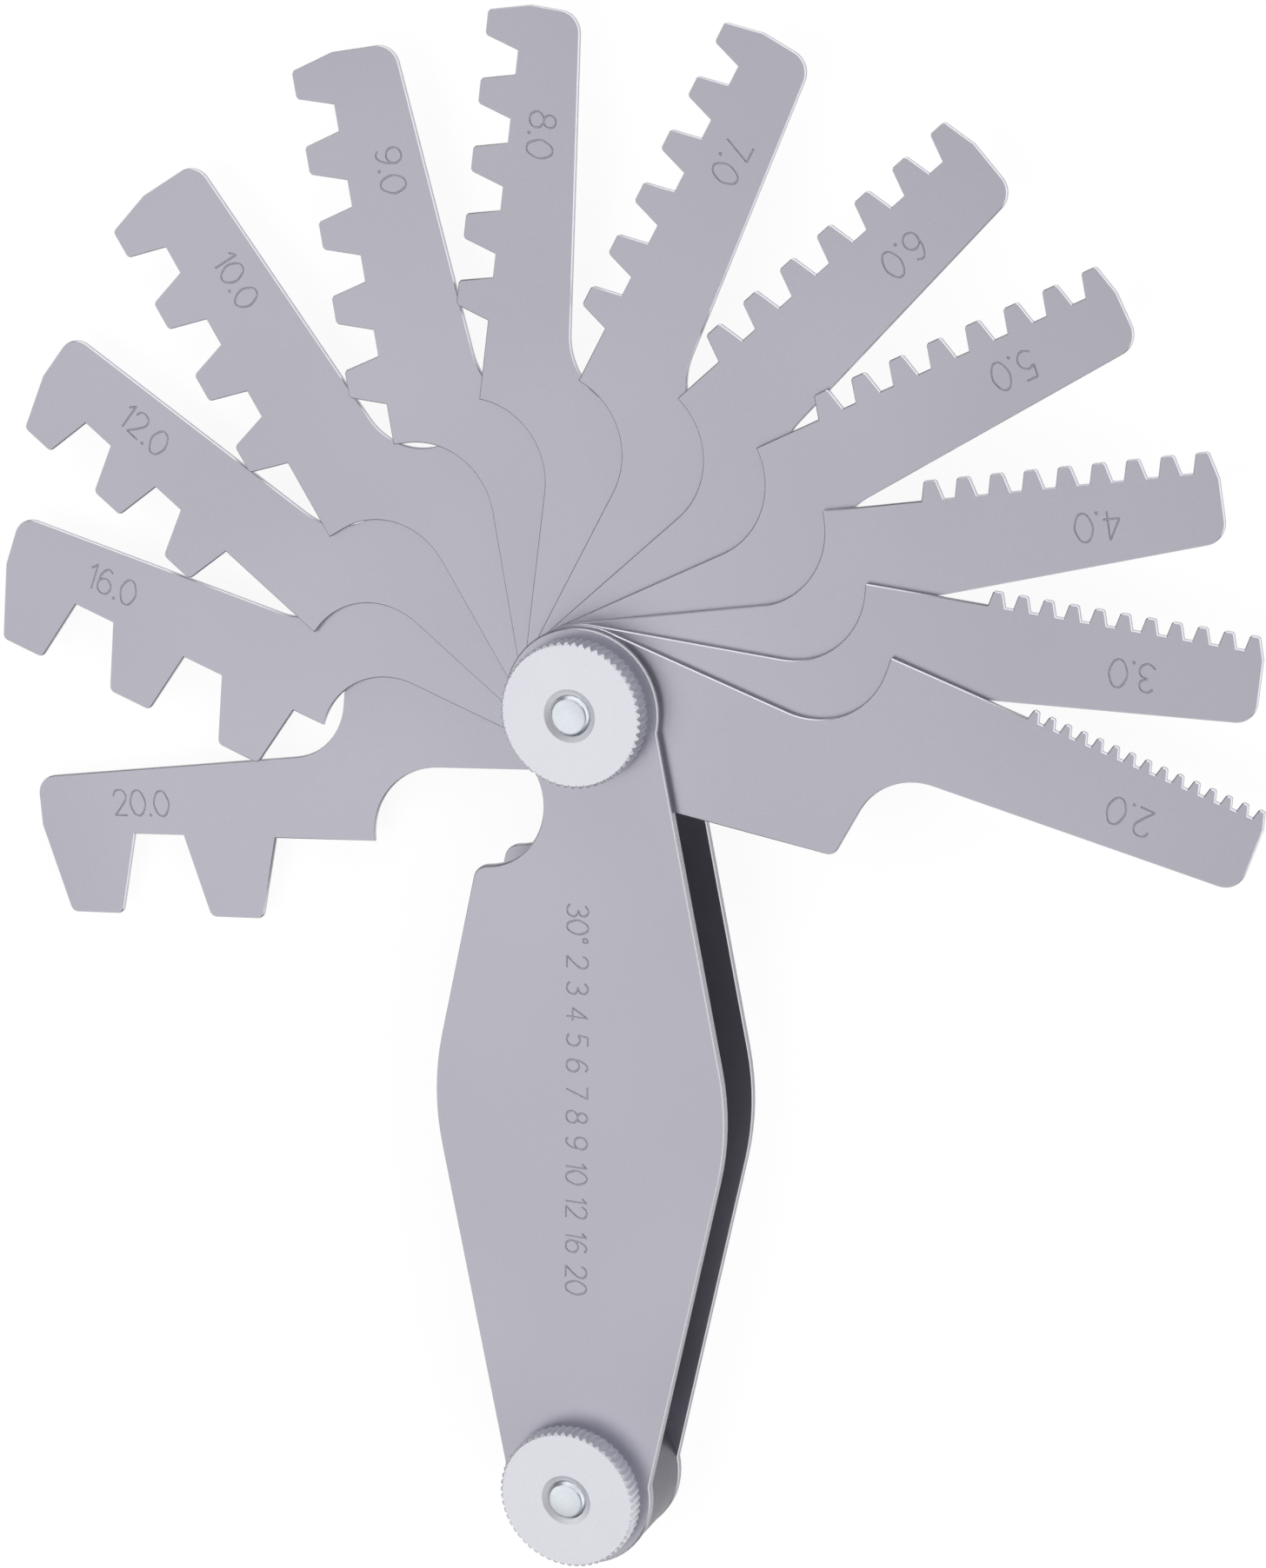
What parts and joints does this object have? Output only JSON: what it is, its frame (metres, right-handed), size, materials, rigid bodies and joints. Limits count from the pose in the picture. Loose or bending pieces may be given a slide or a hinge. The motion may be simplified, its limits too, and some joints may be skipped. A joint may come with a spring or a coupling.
{
  "type": "thread pitch gauge",
  "caption": "Folding thread pitch gauge for trapezoidal threads: toothed steel leaves fan out on a stud between two covers held by knurled nuts.",
  "frame": {"origin": "on the pivot axis, in the plane that the two stud heads rest on, with the gauge lying on its back", "axes": "+Z along the pivot axis from the stud head to the nut, +Y from the end stud towards the pivot and the fan of leaves, +X to the right seen from the nuts"},
  "size_m": [0.165, 0.1919, 0.0159],
  "materials": {
    "cover_steel": "satin ground steel",
    "leaf_steel": "satin ground steel",
    "spacer_steel": "satin milled steel",
    "stud_zinc": "bright zinc plated steel",
    "nut_aluminium": "fine turned aluminium"
  },
  "bodies": {
    "handle": {"front_cover": "cover_steel", "rear_cover": "cover_steel", "end_spacer": "spacer_steel", "pivot_stud": "stud_zinc", "end_stud": "stud_zinc"},
    "leaf_02": {"leaf_02": "leaf_steel"},
    "leaf_03": {"leaf_03": "leaf_steel"},
    "leaf_04": {"leaf_04": "leaf_steel"},
    "leaf_05": {"leaf_05": "leaf_steel"},
    "leaf_06": {"leaf_06": "leaf_steel"},
    "leaf_07": {"leaf_07": "leaf_steel"},
    "leaf_08": {"leaf_08": "leaf_steel"},
    "leaf_09": {"leaf_09": "leaf_steel"},
    "leaf_10": {"leaf_10": "leaf_steel"},
    "leaf_12": {"leaf_12": "leaf_steel"},
    "leaf_16": {"leaf_16": "leaf_steel"},
    "leaf_20": {"leaf_20": "leaf_steel"},
    "pivot_nut": {"pivot_nut": "nut_aluminium"},
    "end_nut": {"end_nut": "nut_aluminium"}
  },
  "joints": [
    {"name": "leaf_02_pivot", "type": "hinge", "parent": "handle", "child": "leaf_02", "pos_m": [0, 0, 0.00669], "axis": [0, 0, 1], "range_deg": [-86.7, 273.4]},
    {"name": "leaf_03_pivot", "type": "hinge", "parent": "handle", "child": "leaf_03", "pos_m": [0, 0, 0.00669], "axis": [0, 0, 1], "range_deg": [-100.6, 259.4]},
    {"name": "leaf_04_pivot", "type": "hinge", "parent": "handle", "child": "leaf_04", "pos_m": [0, 0, 0.00669], "axis": [0, 0, 1], "range_deg": [-115.4, 244.6]},
    {"name": "leaf_05_pivot", "type": "hinge", "parent": "handle", "child": "leaf_05", "pos_m": [0, 0, 0.00669], "axis": [0, 0, 1], "range_deg": [-132.4, 227.6]},
    {"name": "leaf_06_pivot", "type": "hinge", "parent": "handle", "child": "leaf_06", "pos_m": [0, 0, 0.00669], "axis": [0, 0, 1], "range_deg": [-147.9, 212.1]},
    {"name": "leaf_07_pivot", "type": "hinge", "parent": "handle", "child": "leaf_07", "pos_m": [0, 0, 0.00669], "axis": [0, 0, 1], "range_deg": [-167.7, 192.3]},
    {"name": "leaf_08_pivot", "type": "hinge", "parent": "handle", "child": "leaf_08", "pos_m": [0, 0, 0.00669], "axis": [0, 0, 1], "range_deg": [-188.2, 171.8]},
    {"name": "leaf_09_pivot", "type": "hinge", "parent": "handle", "child": "leaf_09", "pos_m": [0, 0, 0.00669], "axis": [0, 0, 1], "range_deg": [-205.5, 154.5]},
    {"name": "leaf_10_pivot", "type": "hinge", "parent": "handle", "child": "leaf_10", "pos_m": [0, 0, 0.00669], "axis": [0, 0, 1], "range_deg": [-227.4, 132.6]},
    {"name": "leaf_12_pivot", "type": "hinge", "parent": "handle", "child": "leaf_12", "pos_m": [0, 0, 0.00669], "axis": [0, 0, 1], "range_deg": [-247.7, 112.3]},
    {"name": "leaf_16_pivot", "type": "hinge", "parent": "handle", "child": "leaf_16", "pos_m": [0, 0, 0.00669], "axis": [0, 0, 1], "range_deg": [-265.6, 94.4]},
    {"name": "leaf_20_pivot", "type": "hinge", "parent": "handle", "child": "leaf_20", "pos_m": [0, 0, 0.00669], "axis": [0, 0, 1], "range_deg": [-290, 70]},
    {"name": "pivot_nut_turn", "type": "hinge", "parent": "handle", "child": "pivot_nut", "pos_m": [0, 0, 0.01389], "axis": [0, 0, 1], "range_deg": [0, 360]},
    {"name": "end_nut_turn", "type": "hinge", "parent": "handle", "child": "end_nut", "pos_m": [0, -0.1004, 0.01389], "axis": [0, 0, 1], "range_deg": [0, 360]}
  ]
}
